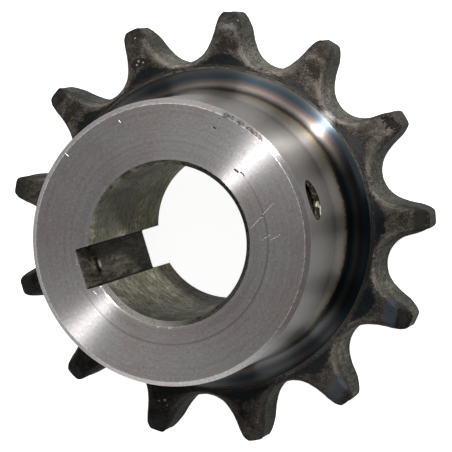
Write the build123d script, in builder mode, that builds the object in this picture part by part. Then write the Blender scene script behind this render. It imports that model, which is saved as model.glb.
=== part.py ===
"""Chain sprocket with a hub on one side, 13 teeth for 3/4 inch pitch roller chain.

The body is one turned and milled forging: a toothed plate, a long hub, a through bore with a
keyway, and two tapped radial holes that each hold a cone point set screw.

Frame: millimetres, +Z along the bore. The plate's flat back is at z = 0 and the hub rises from
it. The keyway and the tooth beside it lie on +X.
"""

import os
from math import asin, atan, cos, degrees, radians, sin, sqrt, tan

from build123d import *

# Chain: the roller chain that the teeth are cut for (all lengths in mm, all angles in degrees)
chain_pitch = 19.05
roller_diameter = 11.91

# Teeth
teeth = 13
outside_diameter = 87.2
seat_oversize = 1.005  # the seat's diameter over the roller's, before the fixed allowance
seat_allowance = 0.076
flank_allowance = 0.038

# Toothed plate
plate_width = 12.4
tip_relief_height = 3.3  # how far below the tips the side faces start to slope in
tip_relief_depth = 3.0  # how much each side face has sloped in at the tips
gap_bevel_width = 0.9  # around each gap on the hub's side, seen along the bore
gap_bevel_height = 2.2
back_edge_break = 0.3  # the small chamfer on the gaps' and the bore's edges at the back
back_edge_angle = 45.0
faced_diameter = 69.4  # the side face inside the teeth that the lathe has cleaned up
facing_depth = 0.15

# Hub
hub_diameter = 55.0
hub_length = 45.0  # from the plate's back to the hub's face
hub_edge_chamfer = 1.0
hub_fillet_radius = 14.0
hub_fillet_diameter = 64.2  # where the fillet breaks into the faced ring

# Bore and keyway
bore_diameter = 30.0
bore_edge_chamfer = 1.0  # at the hub's face
keyway_width = 8.0
keyway_depth = 3.3  # from the bore's wall, on the keyway's centreline
keyway_corner_radius = 0.3

# Set screws: one over the keyway and one straight across from it
screw_diameter = 8.0
screw_length = 8.0
screw_hole_setback = 8.5  # from the hub's face to the hole's centre
screw_hole_countersink = 0.25  # how far the hole's mouth opens out, in radius
countersink_angle = 90.0
screw_clearance = 0.05  # in radius, between a screw's crest and its hole
screw_point_diameter = 2.0
screw_point_angle = 90.0
screw_edge_chamfer = 0.8
socket_width = 4.0  # across the hexagon's flats
socket_depth = 4.0
key_screw_reach = 1.2  # how far the screw's point stands out of the keyway's floor
side_screw_setback = 2.6  # how far the other screw's end lies below the hub's surface

# The tooth form of roller chain sprockets: a seat for the roller, a concave working flank, a
# short straight and a convex topping curve, each tangent to the next
half_pitch_angle = 180 / teeth
pitch_radius = chain_pitch / 2 / sin(radians(half_pitch_angle))
seat_radius = (seat_oversize * roller_diameter + seat_allowance) / 2
seat_half_angle = 90 - (35 + 60 / teeth)
working_angle = 18 - 56 / teeth
working_radius = 0.8 * roller_diameter + seat_radius
topping_angle = 17 - 64 / teeth
topping_centre = 1.4 * roller_diameter  # from the roller's centre, along the pitch line
topping_radius = (
    roller_diameter * (0.8 * cos(radians(working_angle)) + 1.4 * cos(radians(topping_angle)) - 1.3025)
    - flank_allowance
)
straight_length = roller_diameter * (
    1.4 * sin(radians(topping_angle)) - 0.8 * sin(radians(working_angle))
)
crest_height = sqrt(topping_radius**2 - (topping_centre - chain_pitch / 2) ** 2)
topping_sweep = degrees(asin(crest_height / topping_radius)) - topping_angle

# Places that follow from the sizes above
outside_radius = outside_diameter / 2
hub_radius = hub_diameter / 2
bore_radius = bore_diameter / 2
relief_radius = outside_radius - tip_relief_height
faced_level = plate_width - facing_depth
fillet_end_radius = hub_fillet_diameter / 2
fillet_centre_radius = hub_radius + hub_fillet_radius
fillet_top = faced_level + sqrt(
    hub_fillet_radius**2 - (fillet_centre_radius - fillet_end_radius) ** 2
)
gap_bevel_angle = degrees(atan(gap_bevel_width / gap_bevel_height))  # from the gap's wall
faced_radius = faced_diameter / 2
keyway_floor = bore_radius + keyway_depth
screw_hole_height = hub_length - screw_hole_setback
screw_hole_radius = screw_diameter / 2
screw_radius = screw_hole_radius - screw_clearance
screw_point_radius = screw_point_diameter / 2
screw_point_height = (screw_radius - screw_point_radius) / tan(radians(screw_point_angle / 2))
cutter_overrun = 1.0  # how far a cutter runs on past the surface that it leaves by

# One gap between two teeth, opening along +X. Past the points where its flanks would meet its
# neighbours' it widens along the teeth's centrelines.
with BuildSketch() as gap_profile:
    with BuildLine():
        seat = CenterArc(
            (pitch_radius, 0), seat_radius, start_angle=180 - seat_half_angle, arc_size=2 * seat_half_angle
        )
        right_flank = JernArc(seat @ 1, seat % 1, working_radius, working_angle)
        right_straight = Line(right_flank @ 1, right_flank @ 1 + (right_flank % 1) * straight_length)
        right_crest = JernArc(right_straight @ 1, right_straight % 1, topping_radius, -topping_sweep)
        left_flank = JernArc(seat @ 0, -(seat % 0), working_radius, -working_angle)
        left_straight = Line(left_flank @ 1, left_flank @ 1 + (left_flank % 1) * straight_length)
        left_crest = JernArc(left_straight @ 1, left_straight % 1, topping_radius, topping_sweep)
        Polyline(
            right_crest @ 1,
            right_crest @ 1 + Vector(outside_radius, 0).rotate(Axis.Z, -half_pitch_angle),
            left_crest @ 1 + Vector(outside_radius, 0).rotate(Axis.Z, half_pitch_angle),
            left_crest @ 1,
        )
    make_face()

# The cutter that mills one gap, bevels its edge on the hub's side and breaks the one at the back
with BuildPart() as gap_cutter:
    add(gap_profile.sketch)
    extrude(amount=plate_width)
    with BuildSketch(Plane.XY.offset(plate_width - gap_bevel_height)):
        add(gap_profile.sketch)
    extrude(amount=gap_bevel_height + cutter_overrun, taper=-gap_bevel_angle)
    with BuildSketch((-Plane.XY).offset(-back_edge_break)):
        add(gap_profile.sketch)
    extrude(amount=back_edge_break + cutter_overrun, taper=-back_edge_angle)

# The body: turned blank, milled gaps, bore, keyway and the two radial holes
with BuildPart() as sprocket:
    with BuildSketch(Plane.XZ):
        with BuildLine():
            Polyline(
                (hub_radius - hub_edge_chamfer, hub_length),
                (0, hub_length),
                (0, 0),
                (relief_radius, 0),
                (outside_radius, tip_relief_depth),
                (outside_radius, plate_width - tip_relief_depth),
                (relief_radius, plate_width),
                (faced_radius, plate_width),
                (faced_radius, faced_level),
                (fillet_end_radius, faced_level),
            )
            RadiusArc((fillet_end_radius, faced_level), (hub_radius, fillet_top), hub_fillet_radius)
            Polyline(
                (hub_radius, fillet_top),
                (hub_radius, hub_length - hub_edge_chamfer),
                (hub_radius - hub_edge_chamfer, hub_length),
            )
        make_face()
    revolve(axis=Axis.Z)

    with PolarLocations(0, teeth, start_angle=half_pitch_angle):
        add(gap_cutter.part, mode=Mode.SUBTRACT)

    with Locations((0, 0, hub_length)):
        Hole(bore_radius)
    bore_rims = sprocket.edges(Select.LAST).filter_by(GeomType.CIRCLE).sort_by(Axis.Z)
    chamfer(bore_rims[-1], bore_edge_chamfer)
    chamfer(bore_rims[0], back_edge_break)

    with BuildSketch():
        with Locations((keyway_floor, 0)):
            Rectangle(keyway_floor, keyway_width, align=(Align.MAX, Align.CENTER))
        keyway_corners = vertices().group_by(Axis.X)[-1]
        fillet(keyway_corners, keyway_corner_radius)
    extrude(amount=hub_length, mode=Mode.SUBTRACT)

    over_keyway = Plane((hub_radius, 0, screw_hole_height), z_dir=(1, 0, 0))
    across_from_keyway = Plane((-hub_radius, 0, screw_hole_height), z_dir=(-1, 0, 0))
    with Locations(over_keyway, across_from_keyway):
        CounterSinkHole(
            screw_hole_radius,
            screw_hole_radius + screw_hole_countersink,
            depth=hub_radius,
            counter_sink_angle=countersink_angle,
        )

# One set screw, standing on its cone point with its hexagon socket on top
with BuildPart() as set_screw:
    with BuildSketch(Plane.XZ):
        with BuildLine():
            Polyline(
                (0, 0),
                (screw_point_radius, 0),
                (screw_radius, screw_point_height),
                (screw_radius, screw_length - screw_edge_chamfer),
                (screw_radius - screw_edge_chamfer, screw_length),
                (0, screw_length),
                close=True,
            )
        make_face()
    revolve(axis=Axis.Z)
    with BuildSketch(Plane.XY.offset(screw_length)):
        RegularPolygon(socket_width / 2, 6, major_radius=False)
    extrude(amount=-socket_depth, mode=Mode.SUBTRACT)

# The screw over the keyway: its point stands out of the keyway's floor
with BuildPart(over_keyway.offset(keyway_floor - key_screw_reach - hub_radius)) as keyway_set_screw:
    add(set_screw.part)

# The screw across from the keyway: its socket end lies below the hub's surface
with BuildPart(across_from_keyway.offset(-side_screw_setback - screw_length)) as side_set_screw:
    add(set_screw.part)

sprocket.part.label = "sprocket"
keyway_set_screw.part.label = "keyway_set_screw"
side_set_screw.part.label = "side_set_screw"

os.makedirs("parts", exist_ok=True)
export_step(sprocket.part, "parts/sprocket.step")
export_step(keyway_set_screw.part, "parts/keyway_set_screw.step")
export_step(side_set_screw.part, "parts/side_set_screw.step")
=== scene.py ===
"""Chain sprocket with a hub on one side, dressed and lit for rendering.

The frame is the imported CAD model. The body is rebuilt over it as one fine mesh that carries the
forged, turned, milled and heat treated surfaces, with threads in its set screw holes. The set
screws are the CAD's own solids with a finish of their own. Lengths are in metres and +Z runs along
the bore, as in the CAD model.
"""

import math

import bmesh
import bpy
import numpy as np
from bpy.props import FloatProperty, FloatVectorProperty, IntProperty, PointerProperty
from bpy.types import Operator, Panel, PropertyGroup
from mathutils import Matrix, Vector, noise


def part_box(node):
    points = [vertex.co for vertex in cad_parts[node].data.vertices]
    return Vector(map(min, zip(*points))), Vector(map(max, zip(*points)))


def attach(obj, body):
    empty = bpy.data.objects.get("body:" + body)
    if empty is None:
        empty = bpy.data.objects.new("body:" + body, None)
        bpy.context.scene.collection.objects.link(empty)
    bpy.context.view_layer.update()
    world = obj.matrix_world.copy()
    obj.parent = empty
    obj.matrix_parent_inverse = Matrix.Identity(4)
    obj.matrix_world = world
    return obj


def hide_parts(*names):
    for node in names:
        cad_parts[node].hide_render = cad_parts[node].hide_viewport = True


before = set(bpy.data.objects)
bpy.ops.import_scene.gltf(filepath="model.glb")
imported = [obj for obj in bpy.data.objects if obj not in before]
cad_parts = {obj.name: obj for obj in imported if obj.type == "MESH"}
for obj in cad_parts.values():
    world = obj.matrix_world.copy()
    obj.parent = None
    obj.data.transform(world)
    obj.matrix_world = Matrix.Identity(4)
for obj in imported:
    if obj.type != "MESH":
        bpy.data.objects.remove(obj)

bl_info = {
    "name": "Chain sprocket",
    "version": (1, 0, 0),
    "blender": (4, 5, 0),
    "location": "3D View > Sidebar > Sprocket",
    "description": "Builds a heat treated chain sprocket with its set screws, floor, lamps and camera",
    "category": "Add Mesh",
}

MM = 0.001
BODY_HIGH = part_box("sprocket")[1]
SCREW_LOW, SCREW_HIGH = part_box("keyway_set_screw")
SCREW_TIP = SCREW_LOW[0] / MM
SCREW_HEIGHT = (SCREW_LOW[2] + SCREW_HIGH[2]) / 2 / MM
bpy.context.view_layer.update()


# --- Sizes and colours -------------------------------------------------------------------------


def length(name, description, millimetres):
    """A size that a user may change, shown in the scene's own units."""
    return FloatProperty(
        name=name, description=description, default=millimetres * MM, min=0.0, precision=5, unit="LENGTH"
    )


def angle(name, description, degrees):
    """An angle that a user may change."""
    return FloatProperty(name=name, description=description, default=math.radians(degrees), subtype="ANGLE")


def amount(name, description, default, unit="NONE"):
    """A strength or power that a user may change."""
    return FloatProperty(name=name, description=description, default=default, min=0.0, unit=unit)


def linear(red, green, blue):
    """A screen colour, 0 to 255 a channel, as the linear colour that the shaders take."""
    channels = [value / 255 for value in (red, green, blue)]
    return tuple(c / 12.92 if c <= 0.04045 else ((c + 0.055) / 1.055) ** 2.4 for c in channels)


def colour(name, description, red, green, blue):
    """A colour that a user may change, written as it looks on the screen."""
    return FloatVectorProperty(
        name=name,
        description=description,
        default=linear(red, green, blue),
        min=0.0,
        max=1.0,
        size=3,
        subtype="COLOR",
    )


class SprocketSizes(PropertyGroup):
    """The body's sizes, the same as the CAD model's."""

    teeth: IntProperty(name="Teeth", description="Number of teeth", default=13, min=6)
    chain_pitch: length("Chain pitch", "Between the chain's pins", 19.05)
    roller_diameter: length("Roller diameter", "The chain's rollers", 11.91)
    outside_diameter: length("Outside diameter", "Over the teeth's tips", BODY_HIGH[0] * 2 / MM)
    plate_width: length("Plate width", "Thickness of the toothed plate", 12.4)
    tip_relief_height: length("Tip relief height", "From the tips to where the side faces slope in", 3.3)
    tip_relief_depth: length("Tip relief depth", "How far each side face slopes in", 3.0)
    gap_bevel_width: length("Gap bevel width", "Bevel round the gaps, along the plate", 0.9)
    gap_bevel_height: length("Gap bevel height", "Bevel round the gaps, down the plate's edge", 2.2)
    edge_break: length("Edge break", "Small chamfer on the back edges", 0.3)
    faced_diameter: length("Faced diameter", "The turned ring between the fillet and the teeth", 69.4)
    facing_depth: length("Facing depth", "How far that ring lies below the teeth's faces", 0.15)
    hub_diameter: length("Hub diameter", "Outside of the hub", 55.0)
    hub_length: length("Hub length", "From the plate's back to the hub's face", BODY_HIGH[2] / MM)
    hub_chamfer: length("Hub chamfer", "On the hub's outer edge", 1.0)
    fillet_radius: length("Fillet radius", "Between the hub and the plate", 14.0)
    fillet_diameter: length("Fillet diameter", "Where the fillet meets the faced ring", 64.2)
    bore_diameter: length("Bore diameter", "The shaft's bore", 30.0)
    bore_chamfer: length("Bore chamfer", "On the bore's edge at the hub's face", 1.0)
    keyway_width: length("Keyway width", "Across the keyway", 8.0)
    keyway_depth: length("Keyway depth", "From the bore's wall, on the centreline", 3.3)
    screw_diameter: length("Screw diameter", "Thread of the set screws", 8.0)
    thread_pitch: length("Thread pitch", "Between the thread's turns", 1.25)
    thread_depth: length("Thread depth", "From the thread's root to its crest", 0.6)
    screw_setback: length("Screw setback", "From the hub's face to the screws", 8.5)


class SprocketFinishes(PropertyGroup):
    """The colours of the body's surfaces and of the screws."""

    turned: colour("Turned steel", "Hub and its face", 172, 169, 169)
    scale: colour("Forging scale", "Side faces of the teeth", 70, 62, 56)
    milled: colour("Milled steel", "Walls of the gaps", 84, 85, 76)
    bored: colour("Bored steel", "Bore and keyway", 112, 108, 98)
    oxide: colour("Heat oxide", "Burnt black steel beside the hub", 14, 20, 23)
    screw: colour("Screw", "The set screws", 52, 50, 48)


class SprocketStage(PropertyGroup):
    """Floor, sky, lamps and camera. Azimuths run from +X round the bore, elevations from the floor."""

    floor: colour("Floor", "Plain pale floor", 236, 236, 236)
    floor_glow: amount("Floor glow", "How much of its white the floor gives by itself", 0.9)
    sky_low: amount("Sky, low", "Light at the horizon", 0.25)
    sky_high: amount("Sky, high", "Light from overhead", 0.42)
    sky_soft: amount("Sky, soft", "More light from the lamps' side", 0.8)
    sky_azimuth: angle("Sky azimuth", "Where the soft light comes from", 238)
    sky_elevation: angle("Sky elevation", "Where the soft light comes from", 25)
    lamp_distance: length("Lamp distance", "From the sprocket to each lamp", 1200)
    lamp_power: amount("Lamp power", "Of the main lamp", 10.0, "POWER")
    lamp_size: length("Lamp size", "Across the main lamp", 120)
    lamp_azimuth: angle("Lamp azimuth", "Of the main lamp", 218.2)
    lamp_elevation: angle("Lamp elevation", "Of the main lamp", 50)
    low_lamp_power: amount("Low lamp power", "Of the lamp near the floor", 8.5, "POWER")
    low_lamp_size: length("Low lamp size", "Across the lamp near the floor", 100)
    low_lamp_azimuth: angle("Low lamp azimuth", "Of the lamp near the floor", 212)
    low_lamp_elevation: angle("Low lamp elevation", "Of the lamp near the floor", 4)
    field_of_view: angle("Field of view", "Across the whole view", 8.863)
    camera_place: FloatVectorProperty(
        name="Camera place",
        description="Where the camera stands",
        default=(-0.159615, -0.001814, 0.575033),
        precision=5,
        subtype="TRANSLATION",
    )
    camera_turn: FloatVectorProperty(
        name="Camera turn",
        description="How the camera is turned from looking straight down",
        default=[math.radians(degrees) for degrees in (-4.7718, 14.8542, 162.6536)],
        subtype="EULER",
    )


# --- Body mesh ---------------------------------------------------------------------------------

# The tooth form's allowances: the seat over the roller, as a part and a length, and the flank
SEAT_OVERSIZE = 1.005
SEAT_ALLOWANCE = 0.076 * MM
FLANK_ALLOWANCE = 0.038 * MM

# How finely the surface is divided
OUTLINE_STEP = 0.01 * MM  # along the outline that the gap's points are picked from
DISTANCE_STRIDE = 10  # gap distances are measured to one in so many of that outline's points
FLANK_POINTS = 20  # along one side of a gap, from the middle of its seat to the tooth's corner
TIP_POINTS = 3  # along half a tooth's tip
HALF_PITCH_POINTS = FLANK_POINTS + TIP_POINTS
FACED_ROWS = 2  # over the clean inner edge of the faced ring
FACED_WIDTH = 0.05 * MM
FORGED_ROWS = 16  # from there to the bevel round the gap
BEVEL_PARTS = np.array([0.1, 0.2, 0.32, 0.45, 0.6, 0.75, 0.88, 0.96, 1.0])  # rows over the bevel
WALL_ROWS = 10  # down the gap's wall
BACK_PARTS = np.array([0.12, 0.3, 0.5, 0.7, 0.85, 0.94, 0.982, 1.0])  # rows from the teeth to the bore
BORE_ROWS = 16
CHAMFER_PARTS = np.array([0.5, 0.9, 1.15])  # rows over the bore's chamfer, as parts of its width
FACE_PARTS = np.linspace(0.2, 1, 9)  # rows from there to the hub's chamfer
SIDE_ROWS = 15
FILLET_ROWS = 16
KEYWAY_FLOOR_PART = 0.46  # of the points from the keyway's middle to its mouth, those on its floor
MERGE_DISTANCE = 0.001 * MM  # points nearer than this become one

# How the edges are worn and rounded
TIP_WEAR = 0.4 * MM  # how far the tips' corners are rounded off
KEYWAY_CORNER = 0.3 * MM
CREASE_ROUNDING = 0.5 * MM  # where the tip relief starts
FACING_RUN_OUT = 0.25 * MM  # either side of the faced ring's edge
BEVEL_BLEND = 0.5 * MM  # where the bevel meets the plate's face
GAP_EDGE_ROUNDING = 0.45 * MM
BEVEL_REACH = 0.9  # part of the way to the tooth's middle that the bevel may take up
CHAMFER_OFFSET = 0.13 * MM  # how far the bore's chamfer is cut off centre
CHAMFER_DIRECTION = (0.72, 0.69)  # and which way
FORGED_START = 34 * MM  # the radius from which the forging's lumps grow
FORGED_FULL = 36 * MM  # and where they are whole
LUMP_NOISE = (0.8, 2.0, 3)  # fall-off, lacunarity and octaves
FACE_LUMPS = (0.09, 0.06, 2.6)  # height, how far they are sunk, and size, in millimetres
UNDERSIDE_LUMPS = (0.05, 0.05, 3.0)
WALL_DIPS = (0.06, -0.06, 1.6)  # the same for the dips, which go into the wall


def gap_outline(sizes):
    """Half a gap's outline in fine steps, from the middle of the roller's seat out past the tip.

    The outline is a run of bends, each tangent to the next: seat, working flank, a short straight
    and the topping curve. Each point is x along the gap's centreline and y across it.
    """
    half_pitch = math.pi / sizes.teeth
    roller = sizes.roller_diameter
    pitch_radius = sizes.chain_pitch / 2 / math.sin(half_pitch)
    seat_radius = (SEAT_OVERSIZE * roller + SEAT_ALLOWANCE) / 2
    seat_angle = math.radians(55 - 60 / sizes.teeth)
    working_angle = math.radians(18 - 56 / sizes.teeth)
    topping_angle = math.radians(17 - 64 / sizes.teeth)
    working_radius = 0.8 * roller + seat_radius
    topping_radius = (
        roller * (0.8 * math.cos(working_angle) + 1.4 * math.cos(topping_angle) - 1.3025) - FLANK_ALLOWANCE
    )
    straight = roller * (1.4 * math.sin(topping_angle) - 0.8 * math.sin(working_angle))

    bends = (  # length of the run, curvature
        (seat_angle * seat_radius, -1 / seat_radius),
        (working_angle * working_radius, -1 / working_radius),
        (straight, 0),
        (topping_radius, 1 / topping_radius),
    )
    turns = [np.full(round(run / OUTLINE_STEP), curvature * OUTLINE_STEP) for run, curvature in bends]
    heading = math.pi / 2 + np.cumsum(np.concatenate(turns))
    x = pitch_radius - seat_radius + np.cumsum(np.cos(heading)) * OUTLINE_STEP
    y = np.cumsum(np.sin(heading)) * OUTLINE_STEP
    return np.column_stack([x, y])


def half_pitch_plan(sizes):
    """The toothed plate over half a pitch, seen along the bore, in the gap's own frame.

    Lines of points run from the faced ring to the gap's outline, one row of the array each.
    """
    half_pitch = math.pi / sizes.teeth
    outside_radius = sizes.outside_diameter / 2
    ring_radius = sizes.fillet_diameter / 2
    outline = gap_outline(sizes)
    outline = outline[np.hypot(*outline.T) < outside_radius]
    outline = outline[np.arctan2(outline[:, 1], outline[:, 0]) < half_pitch]
    corner_angle = math.atan2(outline[-1, 1], outline[-1, 0])
    tip_angle = np.arange(corner_angle, half_pitch, OUTLINE_STEP / outside_radius)
    tip = outside_radius * np.column_stack([np.cos(tip_angle), np.sin(tip_angle)])
    edge_run = worn_corner(np.vstack([outline, tip]), len(outline), half_pitch)

    # Points close up towards the corner, where the outline turns most
    flank_marks = np.linspace(0, len(outline), FLANK_POINTS + 1)
    tip_marks = np.linspace(len(outline), len(edge_run) - 1, TIP_POINTS + 1)[1:]
    marks = np.concatenate([flank_marks, tip_marks])
    index = np.arange(len(edge_run))
    edge = np.column_stack([np.interp(marks, index, column) for column in edge_run.T])
    ahead = np.gradient(edge_run, axis=0)
    edge_heading = np.interp(marks, index, np.arctan2(ahead[:, 1], ahead[:, 0]))
    inward = np.column_stack([-np.sin(edge_heading), np.cos(edge_heading)])

    # The bevel's inner line keeps its distance from the outline until it reaches the tooth's middle
    across = np.array([math.sin(half_pitch), -math.cos(half_pitch)])
    middle = np.array([math.cos(half_pitch), math.sin(half_pitch)])
    reach = (edge @ across) / -(inward @ across)
    bevel = edge + inward * np.minimum(sizes.gap_bevel_width, BEVEL_REACH * reach)[:, None]
    past = np.arange(len(edge)) > FLANK_POINTS
    part = (np.arange(len(edge)) - FLANK_POINTS)[:, None] / TIP_POINTS
    inner_tip = middle * (outside_radius - 0.5 * sizes.gap_bevel_width)
    bevel = np.where(past[:, None], bevel[FLANK_POINTS] * (1 - part) + inner_tip * part, bevel)

    # The ring's points lean towards the lines that they start, so that the lines run outwards
    even = np.linspace(0, half_pitch, HALF_PITCH_POINTS + 1)
    ring_angle = 0.45 * even + 0.55 * np.arctan2(bevel[:, 1], bevel[:, 0])
    ring = ring_radius * np.column_stack([np.cos(ring_angle), np.sin(ring_angle)])

    faced_part = (FACED_WIDTH / (np.linalg.norm(bevel, axis=1) - ring_radius))[:, None]
    faced_parts = faced_part * np.linspace(0, 1, FACED_ROWS)
    forged_parts = faced_part + (1 - faced_part) * np.linspace(0, 1, FORGED_ROWS + 1)[1:]
    face_parts = np.hstack([faced_parts, forged_parts])[..., None]
    face = ring[:, None] + (bevel - ring)[:, None] * face_parts
    slope = bevel[:, None] + (edge - bevel)[:, None] * BEVEL_PARTS[None, :, None]
    return np.concatenate([face, slope], axis=1)


def worn_corner(run, corner, half_pitch):
    """A tooth's half outline with its corner rounded off, and the rest of it as it was."""
    # The points about the corner are smoothed by a bell curve, cut off at three times its width
    reach = round(3 * TIP_WEAR / OUTLINE_STEP)
    along = np.array([math.cos(half_pitch), math.sin(half_pitch)])
    beyond = run[-reach - 1 : -1][::-1]
    mirrored = 2 * (beyond @ along)[:, None] * along - beyond
    offsets = np.arange(-reach, reach + 1) * OUTLINE_STEP / TIP_WEAR
    weights = np.exp(-0.5 * offsets**2)
    weights /= weights.sum()
    padded = np.vstack([run, mirrored])
    near_corner = slice(max(corner - reach, reach), len(run))
    worn_and_painted_light = run.copy()
    for axis in range(2):
        worn_and_painted_light[near_corner, axis] = np.convolve(padded[:, axis], weights, mode="same")[near_corner]
    return worn_and_painted_light


def whole_plan(sizes):
    """The toothed plate's plan all the way round, starting at the middle of the tooth on +X."""
    plan = half_pitch_plan(sizes)
    half_pitch = math.pi / sizes.teeth
    pitch = np.concatenate([plan[:0:-1] * (1, -1), plan[:-1]])
    turned = []
    for gap in range(sizes.teeth):
        turn = (2 * gap + 1) * half_pitch
        rotation = np.array([[math.cos(turn), math.sin(turn)], [-math.sin(turn), math.cos(turn)]])
        turned.append(pitch @ rotation)
    return np.concatenate(turned)


def gap_distance(sizes, points):
    """How far each point lies from the nearest gap's outline, seen along the bore."""
    half_pitch = math.pi / sizes.teeth
    radius = np.hypot(points[..., 0], points[..., 1])
    fold = np.abs(np.arctan2(points[..., 1], points[..., 0]) % (2 * half_pitch) - half_pitch)
    x = radius * np.cos(fold)
    y = radius * np.sin(fold)
    nearest = np.full(radius.shape, np.inf)
    for edge_x, edge_y in gap_outline(sizes)[::DISTANCE_STRIDE]:
        nearest = np.minimum(nearest, np.hypot(x - edge_x, y - edge_y))
    return nearest


def bore_outline(sizes, count):
    """The bore with its keyway, seen along the bore, as points that start at the keyway's middle."""
    radius = sizes.bore_diameter / 2
    floor = radius + sizes.keyway_depth
    side = sizes.keyway_width / 2
    mouth_angle = math.asin(side / radius)
    mouth = round(mouth_angle / (2 * math.pi) * count)
    corner = round(mouth * KEYWAY_FLOOR_PART)
    keyway = (  # point, x and y: the floor's middle, its rounded corner in three, and the mouth
        (0, floor, 0),
        (corner, floor, side - KEYWAY_CORNER),
        (corner + 1, floor - 0.3 * KEYWAY_CORNER, side - 0.3 * KEYWAY_CORNER),
        (corner + 2, floor - KEYWAY_CORNER, side),
        (mouth, radius * math.cos(mouth_angle), side),
    )
    knots, keyway_x, keyway_y = zip(*keyway)
    index = np.abs((np.arange(count) + count // 2) % count - count // 2)
    turn = mouth_angle + (index - mouth) * (math.pi - mouth_angle) / (count / 2 - mouth)
    x = np.where(index <= mouth, np.interp(index, knots, keyway_x), radius * np.cos(turn))
    y = np.where(index <= mouth, np.interp(index, knots, keyway_y), radius * np.sin(turn))
    below = np.arange(count) > count // 2
    return np.column_stack([x, np.where(below, -y, y)])


def lumps(points, size):
    """Smooth noise from -1 to 1 at each point, with lumps of about the given size."""
    flat = points.reshape(-1, 3) / size
    values = [noise.fractal(Vector(point), *LUMP_NOISE) for point in flat]
    return np.clip(np.array(values), -1, 1).reshape(points.shape[:-1])


def unevenness(points, height, sink, size):
    """How far lumps raise a surface that is first sunk a little, from sizes in millimetres."""
    return (height * lumps(points, size * MM) - sink) * MM


def raised(plan, height):
    """Points of a plan lifted to their heights."""
    return np.concatenate([plan, np.broadcast_to(height, plan.shape[:-1])[..., None]], axis=-1)


def soft_step(value, low, high):
    """0 up to a low value and 1 from a high one on, with a smooth change between them."""
    part = np.clip((value - low) / (high - low), 0, 1)
    return part * part * (3 - 2 * part)


def relief(sizes, radius):
    """How far the side faces have sloped in at a radius, with the crease a little rounded."""
    start = sizes.outside_diameter / 2 - sizes.tip_relief_height
    slope = sizes.tip_relief_depth / sizes.tip_relief_height
    past = radius - start
    rounded = np.clip(past + CREASE_ROUNDING, 0, None) ** 2 / (4 * CREASE_ROUNDING)
    return slope * np.where(past > CREASE_ROUNDING, past, rounded)


def rounding(distance, radius):
    """How far an edge of the given rounding has dropped at a distance from it."""
    inside = np.clip(radius - distance, 0, radius)
    return radius - np.sqrt(radius**2 - inside**2)


def plate_face_height(sizes, plan, distance):
    """Height of the plate on the hub's side: faced ring, scaled faces, tip relief and gap bevel."""
    radius = np.hypot(plan[..., 0], plan[..., 1])
    faced = sizes.faced_diameter / 2
    step = sizes.facing_depth * (1 - soft_step(radius, faced - FACING_RUN_OUT, faced + FACING_RUN_OUT))
    face = sizes.plate_width - step - relief(sizes, radius)
    slope = sizes.gap_bevel_height / sizes.gap_bevel_width
    bevel = sizes.plate_width - sizes.gap_bevel_height + slope * distance
    near = np.clip(BEVEL_BLEND - np.abs(face - bevel), 0, None)
    return np.minimum(face, bevel) - near**2 / (4 * BEVEL_BLEND) - rounding(distance, GAP_EDGE_ROUNDING)


def plate_faces(sizes, plan):
    """The plate's face on the hub's side and its underside, both with the forging's lumps."""
    radius = np.hypot(plan[..., 0], plan[..., 1])
    distance = gap_distance(sizes, plan)
    face = raised(plan, plate_face_height(sizes, plan, distance))
    underside = raised(plan, relief(sizes, radius) + rounding(distance, sizes.edge_break))
    forged = soft_step(radius, FORGED_START, FORGED_FULL)
    face[..., 2] += forged * unevenness(face, *FACE_LUMPS)
    underside[..., 2] -= forged * unevenness(underside, *UNDERSIDE_LUMPS)
    return face, underside[:, ::-1]


def gap_wall(edge, top, bottom):
    """The gaps' walls and the tips, with the dips that the mill left in them."""
    down = np.linspace(0, 1, WALL_ROWS + 2)[1:-1]
    height = top[:, None] * (1 - down) + bottom[:, None] * down
    wall = raised(np.repeat(edge[:, None], len(down), axis=1), height)
    ahead = np.gradient(np.vstack([edge[-1:], edge, edge[:1]]), axis=0)[1:-1]
    inward = np.column_stack([-ahead[:, 1], ahead[:, 0]])
    inward /= np.linalg.norm(inward, axis=1, keepdims=True)
    drawn_out = wall * (1, 1, 0.25)
    dips = unevenness(drawn_out, *WALL_DIPS)
    wall[..., :2] += inward[:, None] * dips[..., None]
    return wall


def back_rim_height(sizes, bore):
    """Height of the bore's outline at the back, where a small chamfer breaks its edge."""
    return np.clip(sizes.edge_break - (np.hypot(*bore.T) - sizes.bore_diameter / 2), 0, None)


def back_face(sizes, ring, bore):
    """The plate's flat back, from under the teeth in to the bore."""
    plan = ring[:, None] + (bore - ring)[:, None] * BACK_PARTS[None, :, None]
    height = np.zeros(plan.shape[:-1])
    height[:, -1] = back_rim_height(sizes, bore)
    return raised(plan, height)


def hub_face_height(sizes, plan):
    """Height of the hub's face, with the bore's chamfer cut a little off centre."""
    x, y = plan[..., 0], plan[..., 1]
    radius = np.hypot(x, y)
    offset = CHAMFER_OFFSET * (x * CHAMFER_DIRECTION[0] + y * CHAMFER_DIRECTION[1]) / radius
    chamfered = sizes.bore_diameter / 2 + sizes.bore_chamfer + offset
    return sizes.hub_length - np.clip(chamfered - radius, 0, None)


def bore_wall(sizes, bore):
    """The bore and its keyway, from the back to the hub's face."""
    up = np.linspace(0, 1, BORE_ROWS + 1)[1:]
    bottom = back_rim_height(sizes, bore)[:, None]
    top = hub_face_height(sizes, bore)[:, None]
    return raised(np.repeat(bore[:, None], len(up), axis=1), bottom * (1 - up) + top * up)


def hub_face(sizes, bore, direction):
    """The hub's face from the bore's chamfer, which takes the first rows, to the hub's."""
    edge_radius = sizes.hub_diameter / 2 - sizes.hub_chamfer
    chamfer_part = sizes.bore_chamfer / (edge_radius - sizes.bore_diameter / 2)
    parts = np.concatenate([chamfer_part * CHAMFER_PARTS, FACE_PARTS])
    plan = bore[:, None] + (direction * edge_radius - bore)[:, None] * parts[None, :, None]
    return raised(plan, hub_face_height(sizes, plan))


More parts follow.
